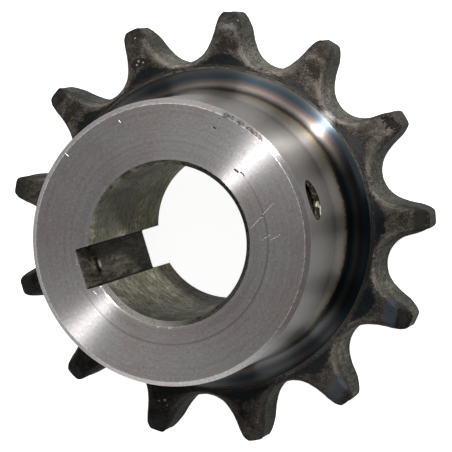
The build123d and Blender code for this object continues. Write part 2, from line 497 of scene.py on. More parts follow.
def hub_outside(sizes, direction):
    """The hub's outer chamfer, its side and the fillet, turned from one profile."""
    hub_radius = sizes.hub_diameter / 2
    chamfer = sizes.hub_chamfer * np.array([0.5, 1.0])
    centre_radius = hub_radius + sizes.fillet_radius
    end_angle = math.acos((centre_radius - sizes.fillet_diameter / 2) / sizes.fillet_radius)
    fillet_top = sizes.plate_width - sizes.facing_depth + sizes.fillet_radius * math.sin(end_angle)
    side = np.linspace(sizes.hub_length - sizes.hub_chamfer, fillet_top, SIDE_ROWS + 1)[1:]
    bends = np.linspace(0, end_angle, FILLET_ROWS + 2)[1:-1]
    radii = np.concatenate(
        [
            hub_radius - sizes.hub_chamfer + chamfer,
            np.full(len(side), hub_radius),
            centre_radius - sizes.fillet_radius * np.cos(bends),
        ]
    )
    heights = np.concatenate(
        [sizes.hub_length - chamfer, side, fillet_top - sizes.fillet_radius * np.sin(bends)]
    )
    return raised(direction[:, None] * radii[None, :, None], heights)


def body_sections(sizes):
    """The body's surface as sections that follow one another round its cross section.

    Each is (points, finish): a grid of points that goes once round the bore on its first axis and
    on from the section before it on its second.
    """
    plan = whole_plan(sizes)
    ring = plan[:, 0]
    edge = plan[:, -1]
    direction = ring / np.linalg.norm(ring, axis=1, keepdims=True)
    bore = bore_outline(sizes, len(plan))
    face, underside = plate_faces(sizes, plan)
    return (
        (face[:, :FACED_ROWS], "turned"),
        (face[:, FACED_ROWS:], "forged"),
        (gap_wall(edge, face[:, -1, 2], underside[:, 0, 2]), "milled"),
        (underside, "forged"),
        (back_face(sizes, ring, bore), "turned"),
        (bore_wall(sizes, bore), "bored"),
        (hub_face(sizes, bore, direction), "turned"),
        (hub_outside(sizes, direction), "turned"),
    )


FINISHES = ("turned", "forged", "milled", "bored")


def ring_mesh(name, points):
    """A closed ring of quads from a grid of points whose two axes both run round and join up."""
    around, along = points.shape[:2]
    first = np.arange(around * along).reshape(around, along)
    beside = np.roll(first, -1, axis=0)
    after = np.roll(first, -1, axis=1)
    across = np.roll(beside, -1, axis=1)
    quads = np.stack([first, after, across, beside], axis=-1).reshape(-1, 4)
    mesh = bpy.data.meshes.new(name)
    mesh.from_pydata(points.reshape(-1, 3).tolist(), [], quads.tolist())
    return mesh


def body_mesh(name, sizes):
    """The body as one closed mesh, with a material index a section and each point's gap distance."""
    sections = body_sections(sizes)
    points = np.concatenate([grid for grid, finish in sections], axis=1)
    finish = np.concatenate([np.full(grid.shape[1], FINISHES.index(kind)) for grid, kind in sections])
    mesh = ring_mesh(name, points)
    face_finish = np.tile(np.roll(finish, -1), len(points))
    mesh.polygons.foreach_set("material_index", face_finish.astype(np.int32))
    to_gap = mesh.attributes.new("gap_distance", "FLOAT", "POINT")
    to_gap.data.foreach_set("value", gap_distance(sizes, points).ravel() / MM)
    work = bmesh.new()
    work.from_mesh(mesh)
    bmesh.ops.remove_doubles(work, verts=work.verts, dist=MERGE_DISTANCE)
    bmesh.ops.recalc_face_normals(work, faces=work.faces)
    work.to_mesh(mesh)
    work.free()
    return mesh


# --- Holes, grime and placing ------------------------------------------------------------------

# The cutter of a tapped hole, in millimetres along the hole from the bore's axis
CUTTER_SIDES = 56
CUTTER_START = 13.0
CUTTER_END = 29.0
CUTTER_STEP = 0.12
COUNTERSINK = 0.25 * MM  # how deep the hole's mouth opens out
THREAD_START = 2.4 * MM  # how far below the hub's side the thread starts to show
THREAD_FULL = 2.0 * MM  # and where it is whole
THREAD_FLAT = 0.15  # part of a turn that is flat at the thread's root, and as much at its crest


def thread_cutter(name, sizes, side):
    """A solid with the shape of one tapped hole, lying along X on the given side of the bore."""
    hub_radius = sizes.hub_diameter / 2
    root = sizes.screw_diameter / 2
    depths = np.arange(CUTTER_START, CUTTER_END, CUTTER_STEP) * MM
    turns = np.arange(CUTTER_SIDES) * 2 * math.pi / CUTTER_SIDES
    phase = depths[None, :] / sizes.thread_pitch + turns[:, None] / (2 * math.pi)
    ridge = np.abs((phase % 1) * 2 - 1)
    tooth = sizes.thread_depth * np.clip((ridge - THREAD_FLAT) / (1 - 2 * THREAD_FLAT), 0, 1)
    threaded = soft_step(depths, hub_radius - THREAD_START, hub_radius - THREAD_FULL)
    radius = root - tooth * threaded[None, :]
    mouth = hub_radius - COUNTERSINK
    radius = np.maximum(radius, root + (depths - mouth)[None, :])
    x = np.broadcast_to(depths[None, :] * side, radius.shape)
    y = radius * np.cos(turns)[:, None]
    z = radius * np.sin(turns)[:, None] + sizes.hub_length - sizes.screw_setback
    points = np.stack([x, y, z], axis=-1)
    work = bmesh.new()
    rings = [[work.verts.new(point) for point in ring] for ring in points.swapaxes(0, 1)]
    for ring, further in zip(rings, rings[1:]):
        for i in range(CUTTER_SIDES):
            j = (i + 1) % CUTTER_SIDES
            work.faces.new((ring[i], ring[j], further[j], further[i]))
    work.faces.new(rings[0])
    work.faces.new(rings[-1])
    bmesh.ops.recalc_face_normals(work, faces=work.faces)
    mesh = bpy.data.meshes.new(name)
    work.to_mesh(mesh)
    work.free()
    return mesh


def cut_hole(body, sizes, side, material):
    """Cuts one tapped hole into the body, with the material on the hole's wall."""
    cutter = bpy.data.objects.new("cutter", thread_cutter("cutter", sizes, side))
    bpy.context.scene.collection.objects.link(cutter)
    cutter.data.materials.append(material)
    cut = body.modifiers.new("hole", "BOOLEAN")
    cut.operation = "DIFFERENCE"
    cut.solver = "EXACT"
    cut.material_mode = "TRANSFER"
    cut.object = cutter
    with bpy.context.temp_override(object=body, active_object=body):
        bpy.ops.object.modifier_apply(modifier=cut.name)
    bpy.data.objects.remove(cutter)


GRIME_SIDES = 72
GRIME_ROWS = 14  # from the screw's cone to the hole's wall
GRIME_LIP = 1.05 * MM  # the grime's radius on the screw's cone
GRIME_BACK = 1.9 * MM  # and its radius underneath
GRIME_THICKNESS = 1.3 * MM
GRIME_PROFILE = (  # radius, and how far the grime stands out of the keyway's floor, in millimetres
    (1.05, 1.13),
    (1.3, 0.96),
    (1.8, 0.5),
    (2.25, 0.1),
    (2.6, 0.03),
)
GRIME_LUMPS = (0.03, 0.0, 0.9)  # height, how far they are sunk, and size, in millimetres

SHARP_ANGLE = math.radians(32)  # edges that turn more than this are shaded sharp


def grime_mesh(name, sizes):
    """Grime from a lip on the keyway screw's cone out to the hole's wall, and back underneath."""
    floor = sizes.bore_diameter / 2 + sizes.keyway_depth
    hole = sizes.screw_diameter / 2
    top = np.linspace(GRIME_LIP, hole, GRIME_ROWS)
    radius = np.concatenate([top, [hole, GRIME_BACK]])
    level = floor - np.interp(radius / MM, *zip(*GRIME_PROFILE)) * MM
    level[len(top) :] = floor + GRIME_THICKNESS
    turns = np.arange(GRIME_SIDES) * 2 * math.pi / GRIME_SIDES
    y = radius[None, :] * np.cos(turns)[:, None]
    z = radius[None, :] * np.sin(turns)[:, None] + sizes.hub_length - sizes.screw_setback
    points = np.stack([np.broadcast_to(level, y.shape), y, z], axis=-1)
    inside = slice(1, len(top) - 1)
    points[:, inside, 0] += unevenness(points, *GRIME_LUMPS)[:, inside]
    return ring_mesh(name, points)


def add_object(name, data):
    """Puts a mesh, a lamp or a camera into the scene."""
    thing = bpy.data.objects.new(name, data)
    bpy.context.scene.collection.objects.link(thing)
    return thing


def place_object(name, mesh, materials):
    """Puts a finished mesh into the scene as a smooth shaded piece of the sprocket."""
    piece = add_object(name, mesh)
    for material in materials:
        mesh.materials.append(material)
    mesh.shade_smooth()
    mesh.set_sharp_from_angle(angle=SHARP_ANGLE)
    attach(piece, "root")
    return piece


# --- Node trees --------------------------------------------------------------------------------


class Nodes:
    """A node tree with short ways to add to it."""

    def __init__(self, tree):
        self.tree = tree

    def feed(self, node, inputs):
        """Links or sets a node's inputs."""
        for name, value in inputs.items():
            if isinstance(value, bpy.types.NodeSocket):
                self.tree.links.new(value, node.inputs[name])
            else:
                node.inputs[name].default_value = value

    def node(self, kind, inputs=None, output=0, **settings):
        """Adds a node and returns one of its outputs."""
        node = self.tree.nodes.new(kind)
        for name, value in settings.items():
            setattr(node, name, value)
        self.feed(node, inputs or {})
        return node.outputs[output]

    def maths(self, operation, first, second=0.0):
        """The result of a sum on one or two numbers."""
        return self.node("ShaderNodeMath", {0: first, 1: second}, operation=operation)

    def vector_maths(self, operation, first, others=None, output="Vector"):
        """The result of a sum on vectors, the others given by the names of their inputs."""
        return self.node("ShaderNodeVectorMath", {0: first, **(others or {})}, output, operation=operation)

    def plus(self, first, second):
        """Two numbers added up."""
        return self.maths("ADD", first, second)

    def minus(self, first, second):
        """The first number less the second."""
        return self.maths("SUBTRACT", first, second)

    def both(self, first, second):
        """Two numbers multiplied, which is where both of two masks are."""
        return self.maths("MULTIPLY", first, second)

    def most(self, masks):
        """The greatest of several masks."""
        total = masks[0]
        for mask in masks[1:]:
            total = self.maths("MAXIMUM", total, mask)
        return total

    def fade(self, value, low, high, from_value=0.0, to_value=1.0):
        """A smooth change from one value to another as the input goes from low to high."""
        if low > high:
            low, high, from_value, to_value = high, low, to_value, from_value
        inputs = {"Value": value, "From Min": low, "From Max": high, "To Min": from_value, "To Max": to_value}
        return self.node("ShaderNodeMapRange", inputs, interpolation_type="SMOOTHSTEP")

    def toward(self, vector, direction):
        """The cosine of the angle between a vector and a direction, both one long."""
        return self.vector_maths("DOT_PRODUCT", vector, {1: direction}, output="Value")


class Finish(Nodes):
    """One material's nodes, built up around its own Principled shader.

    Places on the sprocket are vectors in millimetres and angles are in degrees.
    """

    def __init__(self, name, sockets):
        self.material = bpy.data.materials.new(name)
        self.material.use_nodes = True
        super().__init__(self.material.node_tree)
        self.shader = self.tree.nodes["Principled BSDF"]
        self.feed(self.shader, sockets)
        metres = self.node("ShaderNodeTexCoord", output="Object")
        self.place = self.vector_maths("SCALE", metres, {"Scale": 1 / MM})
        self.x, self.y, self.height = self.node("ShaderNodeSeparateXYZ", {0: self.place}).node.outputs
        flat = self.vector_maths("MULTIPLY", self.place, {1: (1, 1, 0)})
        self.radius = self.vector_maths("LENGTH", flat, output="Value")
        self.outward = self.vector_maths("NORMALIZE", flat)
        self.azimuth = self.both(self.maths("ARCTAN2", self.y, self.x), 180 / math.pi)

    def vector(self, x, y, z):
        """A vector made of three numbers."""
        return self.node("ShaderNodeCombineXYZ", {0: x, 1: y, 2: z})

    def drawn_out(self, x, y, z):
        """The place with its axes scaled, so that grain is drawn out along the ones made small."""
        return self.vector_maths("MULTIPLY", self.place, {1: (x, y, z)})

    def grain(self, vector, scale, detail=3.0, roughness=0.55, distortion=0.0):
        """Noise about 0.5, at a scale in cycles a millimetre."""
        inputs = {
            "Vector": vector,
            "Scale": scale,
            "Detail": detail,
            "Roughness": roughness,
            "Distortion": distortion,
        }
        return self.node("ShaderNodeTexNoise", inputs, output="Fac")

    def blend(self, factor, under, over):
        """Colour under with colour over laid on it as far as the factor says."""
        inputs = {"Factor": factor}
        for name, tint in ((6, under), (7, over)):
            inputs[name] = tint if isinstance(tint, bpy.types.NodeSocket) else (*tint, 1.0)
        return self.node("ShaderNodeMix", inputs, output=2, data_type="RGBA")

    def shade(self, base, amount):
        """A colour made darker or lighter by an amount, where 1 leaves it as it is."""
        return self.vector_maths("SCALE", base, {"Scale": amount})

    def ramp(self, value, stops):
        """A colour for each value from 0 to 1, through the stops (position, colour)."""
        output = self.node("ShaderNodeValToRGB", {"Fac": value})
        elements = output.node.color_ramp.elements
        elements[0].position, elements[0].color = stops[0][0], (*stops[0][1], 1.0)
        elements[1].position, elements[1].color = stops[-1][0], (*stops[-1][1], 1.0)
        for position, tint in stops[1:-1]:
            elements.new(position).color = (*tint, 1.0)
        return output

    def facing(self, azimuth):
        """1 at an azimuth round the bore, 0 at a quarter turn from it and -1 across from it."""
        angle = math.radians(azimuth)
        return self.toward(self.outward, (math.cos(angle), math.sin(angle), 0.0))

    def around(self, table):
        """A value from 0 to 1 that changes round the bore, through the stops (azimuth, value)."""
        turn = self.maths("FRACT", self.maths("DIVIDE", self.azimuth, 360))
        return self.ramp(turn, [(azimuth / 360, (value,) * 3) for azimuth, value in table])

    def near(self, value, middle, reach):
        """1 where the value is at the middle, going to 0 at a reach from it on either side."""
        off = self.maths("ABSOLUTE", self.minus(value, middle))
        return self.fade(off, reach, 0.25 * reach)

    def spot(self, centre, size, core=0.6):
        """1 at a centre and over its core, a part of the spot's size, going to 0 at its edge."""
        distance = self.vector_maths("DISTANCE", self.place, {1: centre}, output="Value")
        return self.fade(distance, size, core * size)

    def stroke(self, start, end, width, warp=None):
        """1 along a straight mark from start to end, going to 0 at its width, which noise may warp."""
        run = Vector(end) - Vector(start)
        offset = self.vector_maths("SUBTRACT", self.place, {1: start})
        part = self.vector_maths("DOT_PRODUCT", offset, {1: run / run.length_squared}, output="Value")
        part = self.node("ShaderNodeClamp", {"Value": part})
        nearest = self.vector_maths("SCALE", run, {"Scale": part})
        distance = self.vector_maths("DISTANCE", offset, {1: nearest}, output="Value")
        if warp is not None:
            return self.fade(self.plus(distance, warp), width, 0.75 * width)
        return self.fade(distance, width, 0.3 * width)

    def bump(self, height, depth):
        """Raises the surface by the height, which is 0 to 1, times the depth in millimetres."""
        normal = self.node("ShaderNodeBump", {"Height": height, "Distance": depth * MM})
        self.feed(self.shader, {"Normal": normal})


# --- Turned steel ------------------------------------------------------------------------------

# In these tables azimuths are in degrees round the bore, from the keyway, and colours are written
# as they look on the screen.
HEAT_TINTS = (  # radius in millimetres, colour
    (27.5, (92, 89, 86)),
    (28.0, (86, 82, 76)),
    (28.38, (76, 69, 56)),
    (28.58, (50, 43, 35)),
    (28.78, (36, 31, 31)),
    (29.02, (60, 58, 59)),
    (29.35, (94, 90, 87)),
    (29.6, (112, 104, 95)),
    (29.85, (108, 96, 86)),
    (30.1, (94, 82, 80)),
    (30.35, (80, 73, 76)),
    (30.6, (69, 70, 74)),
    (30.85, (54, 61, 67)),
    (31.35, (56, 64, 70)),
    (31.85, (72, 77, 79)),
    (32.3, (94, 93, 90)),
)

FAINT_TINTS = (  # the same, where the heat has hardly coloured the steel
    (27.5, (92, 89, 86)),
    (28.1, (84, 78, 70)),
    (28.35, (54, 45, 34)),
    (28.6, (38, 36, 35)),
    (28.85, (62, 62, 62)),
    (29.1, (98, 99, 100)),
    (29.6, (84, 85, 86)),
    (30.1, (58, 61, 64)),
    (30.6, (54, 59, 62)),
    (31.1, (72, 77, 79)),
    (31.6, (80, 82, 80)),
    (32.3, (64, 65, 64)),
)

TINT_SHADES = (  # azimuth, how much light the tinted steel gives back there, where 0.5 is plain: partly the heat's own unevenness and partly painted light and shade, brightest toward the lamps
    (0, 0.3),
    (80, 0.3),
    (104, 0.28),
    (116, 0.33),
    (132, 0.42),
    (200, 0.5),
    (214, 0.62),
    (236, 0.85),
    (247, 0.5),
    (262, 0.25),
    (280, 0.25),
    (360, 0.3),
)

TINT_SHIFTS = (  # azimuth, how far in the tints lie there in millimetres
    (0, 0.8),
    (95, 0.85),
    (104, 0.45),
    (118, 0.05),
    (150, -0.25),
    (186, -0.32),
    (207, -0.1),
    (230, 0.15),
    (247, 0.25),
    (262, 0.6),
    (270, 0.9),
    (360, 0.8),
)

RING_MARKS = (  # radius and width in millimetres, strength
    (19.42, 0.26, 0.42),
    (17.35, 0.22, 0.16),
    (16.75, 0.16, 0.1),
)

BRIGHT_NICKS = (  # start, end and width in millimetres, on the hub's face
    ((-16.11, 1.81), (-21.85, -1.63), 0.085),
    ((-17.73, 4.44), (-19.5, 3.96), 0.06),
    ((-19.22, 4.87), (-21.36, 4.5), 0.06),
    ((14.6, -22.4), (14.1, -21.5), 0.16),
    ((2.35, -25.1), (2.2, -24.7), 0.16),
    ((18.5, -2.4), (18.8, -1.2), 0.1),
    ((10.1, 12.3), (9.8, 12.6), 0.14),
    ((6.9, 14.6), (6.6, 14.7), 0.14),
    ((4.8, 15.45), (4.3, 15.55), 0.13),
    ((17.1, 4.6), (16.7, 5.4), 0.09),
    ((-18.4, -11.2), (-19.6, -12.6), 0.06),
)

DARK_NICKS = (  # start, end and width in millimetres, on the hub's face
    ((-16.6, -9.7), (-17.0, -9.2), 0.26),
    ((-17.6, -8.8), (-17.9, -8.2), 0.22),
    ((-14.9, -18.6), (-15.3, -18.2), 0.2),
    ((-19.08, 0.05), (-19.1, 0.2), 0.18),
)

CHAMFER_DINGS = (  # azimuth at both ends and width in millimetres, on the hub's outer chamfer
    (228.5, 225.2, 0.55),
    (222.8, 220.6, 0.5),
    (217.6, 214.2, 0.5),
    (213.2, 211.0, 0.45),
)
DING_INSET = 0.65  # millimetres from the hub's side to the dings
DING_DROP = 0.4  # and from its face


def on_hub_face(sizes, marks):
    """The ends and width of each mark on the hub's face, with its height put in."""
    height = sizes.hub_length / MM
    return [((*start, height), (*end, height), width) for start, end, width in marks]


def on_hub_chamfer(sizes, dings):
    """The ends and width of each ding on the hub's outer chamfer, as places."""
    radius = sizes.hub_diameter / 2 / MM - DING_INSET
    height = sizes.hub_length / MM - DING_DROP
    places = []
    for first, last, width in dings:
        ends = [math.radians(azimuth) for azimuth in (first, last)]
        ends = [(radius * math.cos(angle), radius * math.sin(angle), height) for angle in ends]
        places.append((*ends, width))
    return places


def ring_marks(finish):
    """The mask of the stronger turned rings on the hub's face, which fade out round it."""
    rings = []
    for radius, width, strength in RING_MARKS:
        off = finish.maths("ABSOLUTE", finish.minus(finish.radius, radius))
        rings.append(finish.fade(off, 0.0, width, strength, 0.0))
    return finish.both(finish.most(rings), finish.fade(finish.facing(105), -0.35, 0.35))


def hub_face_colour(finish, finishes, lines, fine):
    """Bare turned metal: a clouded grey with fine lines and bright and dark grains."""
    cloud = finish.grain(finish.place, 0.1, detail=4.0, roughness=0.6)
    steel = finish.blend(finish.fade(cloud, 0.38, 0.66), finishes.turned, linear(169, 160, 158))
    steel = finish.blend(finish.fade(lines, 0.4, 0.65, 0.0, 0.3), steel, linear(128, 122, 119))
    steel = finish.blend(finish.fade(fine, 0.52, 0.64, 0.0, 0.32), steel, linear(124, 116, 113))
    return finish.blend(finish.fade(fine, 0.42, 0.32, 0.0, 0.4), steel, linear(214, 211, 208))


def hub_side_colour(finish, lines, fine):
    """The hub's side, duller than its face and dullest beside the plate, partly heat colour and partly
    painted shade, with painted shade on one side.
    """
    side = finish.blend(finish.fade(lines, 0.3, 0.75, 0.0, 0.2), linear(96, 93, 90), linear(76, 72, 67))
    # Darker and warmer toward the plate, more on one side, partly heat colour and partly painted shade; then
    # painted shade darkens that side all the way up
    dull = finish.fade(finish.height, 38.0, 24.5, 0.0, 0.5)
    dull = finish.both(dull, finish.fade(finish.facing(150), 0.1, 0.8, 0.2, 1.0))
    side = finish.blend(dull, side, linear(64, 59, 53))
    side = finish.shade(side, finish.fade(finish.facing(165), 0.1, 0.95, 1.0, 0.78))
    return finish.blend(finish.fade(fine, 0.6, 0.72, 0.0, 0.35), side, linear(58, 52, 45))


def outer_chamfer(finish, sizes, steel, on_face, ragged, fine):
    """Lays the hub's outer chamfer over its steel, with painted shade on one side and a painted highlight on
    another, a bright line on its edge and brown dings.
    """
    edge = (sizes.hub_diameter / 2 - sizes.hub_chamfer) / MM
    chamfer = finish.both(finish.fade(finish.radius, edge, edge + 0.1), on_face)
    # Painted shade on one side of the chamfer and a painted highlight on another
    dim = finish.both(chamfer, finish.fade(finish.facing(165), 0.2, 0.95, 0.1, 0.55))
    lit = finish.both(chamfer, finish.fade(finish.facing(80), 0.65, 0.95, 0.0, 0.75))
    steel = finish.shade(steel, finish.plus(finish.minus(1.0, dim), lit))

    line = finish.near(finish.plus(finish.radius, finish.both(ragged, 0.4)), edge + 0.05, 0.12)
    line = finish.both(line, finish.fade(finish.facing(150), 0.55, 0.95, 0.8, 0.45))
    line = finish.both(line, finish.fade(finish.facing(85), 0.6, 0.95, 1.0, 0.4))
    line = finish.both(line, finish.fade(fine, 0.6, 0.44, 0.1, 1.0))
    steel = finish.blend(line, steel, linear(226, 222, 218))

    torn = finish.fade(fine, 0.3, 0.7, -0.3, 0.3)
    dings = finish.most([finish.stroke(*ding, torn) for ding in on_hub_chamfer(sizes, CHAMFER_DINGS)])
    mottled = finish.both(dings, finish.fade(fine, 0.58, 0.44, 0.3, 0.9))
    return finish.blend(mottled, steel, linear(78, 68, 52))


def heat_tint(finish, fine):
    """The heat's colours on the fillet, and the mask of the black part, partly oxide and partly painted
    shade.
    """
    wobble = finish.grain(finish.place, 0.12, detail=3.0)
    radius = finish.plus(finish.radius, finish.fade(wobble, 0.3, 0.7, -0.08, 0.08))
    radius = finish.plus(radius, finish.fade(fine, 0.3, 0.7, -0.05, 0.05))
    # A ramp holds values from 0 to 1 only, so the shifts are halved and raised, and stretched again
    shifts = finish.around([(azimuth, (shift + 1) / 2) for azimuth, shift in TINT_SHIFTS])
    shifts = finish.node("ShaderNodeMapRange", {"Value": shifts, "To Min": -1.0})
    radius = finish.plus(radius, shifts)

    start, end = HEAT_TINTS[0][0], HEAT_TINTS[-1][0]
    part = finish.maths("DIVIDE", finish.minus(radius, start), end - start)
    tint, faint_tint = [
        finish.ramp(part, [((at - start) / (end - start), linear(*tint)) for at, tint in table])
        for table in (HEAT_TINTS, FAINT_TINTS)
    ]
    specks = finish.both(finish.near(radius, 28.25, 0.2), finish.fade(fine, 0.46, 0.38))
    tint = finish.blend(finish.both(specks, 0.5), tint, linear(96, 84, 62))
    tint = finish.blend(finish.fade(finish.facing(110), 0.93, 0.985), tint, faint_tint)
    # Painted light and shade round the fillet, from the table
    tint = finish.shade(tint, finish.both(finish.around(TINT_SHADES), 2.0))

    # Black beside the side screw, partly oxide and partly painted shade, but for a spared part near the
    # plate, with a golden edge
    burnt_and_painted_shade = finish.both(finish.fade(finish.facing(160), 0.766, 0.91), finish.fade(radius, 27.75, 28.35))
    spared = finish.both(finish.fade(finish.facing(207), 0.8, 0.95), finish.fade(finish.radius, 30.9, 31.6))
    burnt_and_painted_shade = finish.both(burnt_and_painted_shade, finish.fade(spared, 0.0, 1.0, 0.93, 0.1))
    burnt_and_painted_shade = finish.both(burnt_and_painted_shade, finish.fade(finish.radius, 30.6, 31.4, 1.0, 0.82))
    tint = finish.blend(burnt_and_painted_shade, tint, linear(2, 6, 8))
    gold = finish.both(finish.near(radius, 28.05, 0.22), finish.fade(fine, 0.56, 0.44))
    gold = finish.both(gold, finish.fade(finish.facing(165), 0.6, 0.9, 0.0, 0.6))
    return finish.blend(gold, tint, linear(92, 78, 48)), burnt_and_painted_shade


def turned_steel(sizes, finishes):
    """Lathe turned steel with fine circular lines, which heat has tinted beside the plate, with painted light
    and shade round the hub and the fillet.
    """
    sockets = {"Anisotropic": 1.0, "Anisotropic Rotation": 0.25, "Specular IOR Level": 0.05}
    finish = Finish("turned_steel", sockets)
    tangent = finish.node("ShaderNodeTangent", direction_type="RADIAL", axis="Z")
    level = sizes.hub_length / MM
    on_face = finish.fade(finish.height, level - 1.2, level - 1.0)
    drift = finish.grain(finish.place, 0.06, detail=2.0)
    profile = finish.vector(finish.radius, finish.height, drift)
    lines = finish.grain(profile, 3.0, detail=4.0, roughness=0.75)
    fine = finish.grain(finish.place, 1.8, detail=3.0, roughness=0.7)

    # The hub's face with its ring marks, nicks and scratches, and the hub's side
    rings = finish.both(ring_marks(finish), on_face)
    bright = finish.most([finish.stroke(*mark) for mark in on_hub_face(sizes, BRIGHT_NICKS)])
    dark = finish.most([finish.stroke(*mark) for mark in on_hub_face(sizes, DARK_NICKS)])
    steel = hub_face_colour(finish, finishes, lines, fine)
    steel = finish.blend(rings, steel, linear(104, 86, 84))
    steel = finish.blend(finish.both(bright, 0.75), steel, linear(236, 234, 230))
    steel = finish.blend(dark, steel, linear(60, 52, 44))
    steel = finish.blend(on_face, hub_side_colour(finish, lines, fine), steel)

    # The chamfer round the bore has the bore's own colour, darkened as painted shade, and is paler on one
    # side, partly wear and partly a painted highlight
    ragged = finish.grain(finish.place, 1.3, detail=5.0, roughness=0.75)
    ragged = finish.fade(ragged, 0.35, 0.75, -0.1, 0.1)
    inner_edge = (sizes.bore_diameter / 2 + sizes.bore_chamfer) / MM
    chamfer = finish.fade(finish.minus(finish.radius, ragged), inner_edge, inner_edge - 0.1)
    chamfer = finish.both(chamfer, on_face)
    worn_and_painted_light = finish.shade(bore_colour(finish, finishes), 0.5)
    worn_and_painted_light = finish.blend(finish.fade(finish.facing(38), 0.6, 0.95), worn_and_painted_light, linear(112, 110, 104))
    worn_and_painted_light = finish.blend(finish.fade(fine, 0.48, 0.6, 0.0, 0.5), worn_and_painted_light, linear(74, 71, 64))
    steel = finish.blend(chamfer, steel, worn_and_painted_light)
    steel = outer_chamfer(finish, sizes, steel, on_face, ragged, fine)

    # The fillet, where its black part, partly oxide and partly painted shade, reflects less at a low angle
    # than clean steel does
    tint, burnt_and_painted_shade = heat_tint(finish, fine)
    on_fillet = finish.fade(finish.height, 24.0, 21.0)
    base = finish.blend(on_fillet, steel, tint)
    edge_tint = finish.blend(finish.both(burnt_and_painted_shade, on_fillet), (1.0, 1.0, 1.0), (0.45, 0.5, 0.52))

    roughness = finish.fade(finish.height, 24.0, 27.0, 0.31, 0.36)
    roughness = finish.minus(roughness, finish.both(on_face, 0.02))
    roughness = finish.plus(roughness, finish.fade(lines, 0.2, 0.8, -0.03, 0.03))
    roughness = finish.plus(roughness, finish.both(chamfer, 0.4))
    finish.feed(finish.shader, {"Base Color": base, "Specular Tint": edge_tint, "Tangent": tangent})
    finish.feed(finish.shader, {"Metallic": finish.minus(1.0, chamfer), "Roughness": roughness})
    dents = finish.minus(lines, finish.both(finish.most([bright, dark, rings]), 4.0))
    finish.bump(dents, 0.012)
    return finish.material


# --- Forged scale ------------------------------------------------------------------------------

SCALE_COLOURS = (  # noise value, colour
    (0.395, (34, 32, 29)),
    (0.45, (58, 54, 50)),
    (0.50, (80, 75, 69)),
    (0.55, (102, 96, 89)),
    (0.62, (134, 127, 119)),
)

SCALE_SHADES = (  # azimuth, how pale the scale is, from black to 1: partly the scale's own colour and partly painted shade and light, darkest where the hub's shadow falls and palest toward the lamps
    (0, 0.28),
    (48, 0.24),
    (83, 0.54),
    (97, 0.12),
    (111, 0.44),
    (125, 0.78),
    (138, 0.3),
    (152, 0.74),
    (166, 0.44),
    (180, 0.78),
    (194, 0.8),
    (221, 1.0),
    (235, 1.0),
    (249, 0.6),
    (263, 1.0),
    (277, 0.54),
    (290, 0.7),
    (304, 0.5),
    (334, 0.48),
    (348, 0.4),
    (360, 0.28),
)

TIP_SHADES = (  # azimuth, how dark the tip is
    (0, 0.5),
    (72, 0.0),
    (111, 0.0),
    (132, 1.0),
    (180, 0.9),
    (194, 0.0),
    (207, 0.3),
    (221, 0.75),
    (249, 0.4),
    (277, 0.6),
    (360, 0.5),
)

RING_SHADES = (  # azimuth, how pale the ring between the fillet and the teeth is: partly its own colour and partly painted light and shade, palest toward the lamps
    (0, 0.35),
    (55, 0.3),
    (97, 0.85),
    (125, 0.68),
    (150, 0.24),
    (166, 0.3),
    (180, 0.66),
    (194, 0.9),
    (235, 1.0),
    (263, 0.66),
    (290, 0.5),
    (360, 0.35),
)

FOOT_SHADES = (  # azimuth, how pale the black foot of the tooth is, from black to 1: partly its own colour and partly painted light, palest toward the lamps
    (0, 0.1),
    (83, 0.18),
    (111, 0.1),
    (138, 0.0),
    (166, 0.0),
    (180, 0.4),
    (194, 0.8),
    (221, 1.0),
    (235, 0.5),
    (249, 0.12),
    (277, 0.08),
    (360, 0.1),
)

FOOT_SIZES = (  # azimuth, how large the burnt foot of the tooth is
    (0, 0.68),
    (83, 0.75),
    (111, 0.85),
    (138, 1.0),
    (152, 0.85),
    (166, 0.78),
    (194, 0.68),
    (208, 0.57),
    (221, 0.38),
    (235, 0.57),
    (249, 0.78),
    (360, 0.68),
)

STAINS = (  # azimuth and radius of both ends, and width, in degrees and millimetres, and colour
    ((141.5, 38.9), (134.5, 40.4), 1.5, (48, 54, 60)),
    ((143.0, 41.3), (137.5, 42.3), 1.1, (34, 33, 31)),
    ((114.5, 40.1), (107.0, 41.2), 1.9, (58, 63, 68)),
    ((115.5, 42.5), (111.0, 42.9), 0.8, (36, 35, 33)),
    ((249.0, 40.7), (247.6, 40.6), 0.65, (94, 96, 97)),
    ((195.0, 41.6), (192.0, 42.2), 1.3, (20, 17, 16)),
    ((168.0, 41.9), (163.5, 41.9), 1.3, (34, 32, 30)),
    ((221.5, 38.4), (218.5, 37.6), 1.2, (52, 46, 40)),
    ((276.0, 36.4), (279.5, 36.8), 1.1, (38, 33, 30)),
    ((302.5, 37.4), (306.5, 37.9), 1.4, (40, 37, 34)),
    ((250.5, 36.6), (246.5, 37.0), 1.2, (44, 38, 34)),
)

CHIPS = (  # azimuth in degrees, radius and size in millimetres
    (143.2, 39.4, 0.42),
    (218.1, 40.9, 0.26),
    (237.3, 36.1, 0.3),
    (234.8, 34.0, 0.26),
    (246.2, 42.1, 0.3),
    (276.3, 41.6, 0.28),
    (277.6, 37.0, 0.36),
    (278.6, 36.5, 0.28),
    (276.4, 36.4, 0.26),
    (180.8, 33.4, 0.26),
    (56.3, 36.4, 0.36),
    (57.5, 37.3, 0.24),
    (54.6, 36.9, 0.24),
)

MARK_DEPTH = 0.2 * MM  # how far below the plate's full width the marks on the teeth are centred


def on_plate(sizes, azimuth, radius):
    """The place on the teeth's side face at an azimuth in degrees and a radius in millimetres."""
    angle = math.radians(azimuth)
    slope = sizes.tip_relief_depth / sizes.tip_relief_height
    past_crease = radius * MM - (sizes.outside_diameter / 2 - sizes.tip_relief_height)
    height = (sizes.plate_width - MARK_DEPTH - slope * max(0.0, past_crease)) / MM
    return (radius * math.cos(angle), radius * math.sin(angle), height)


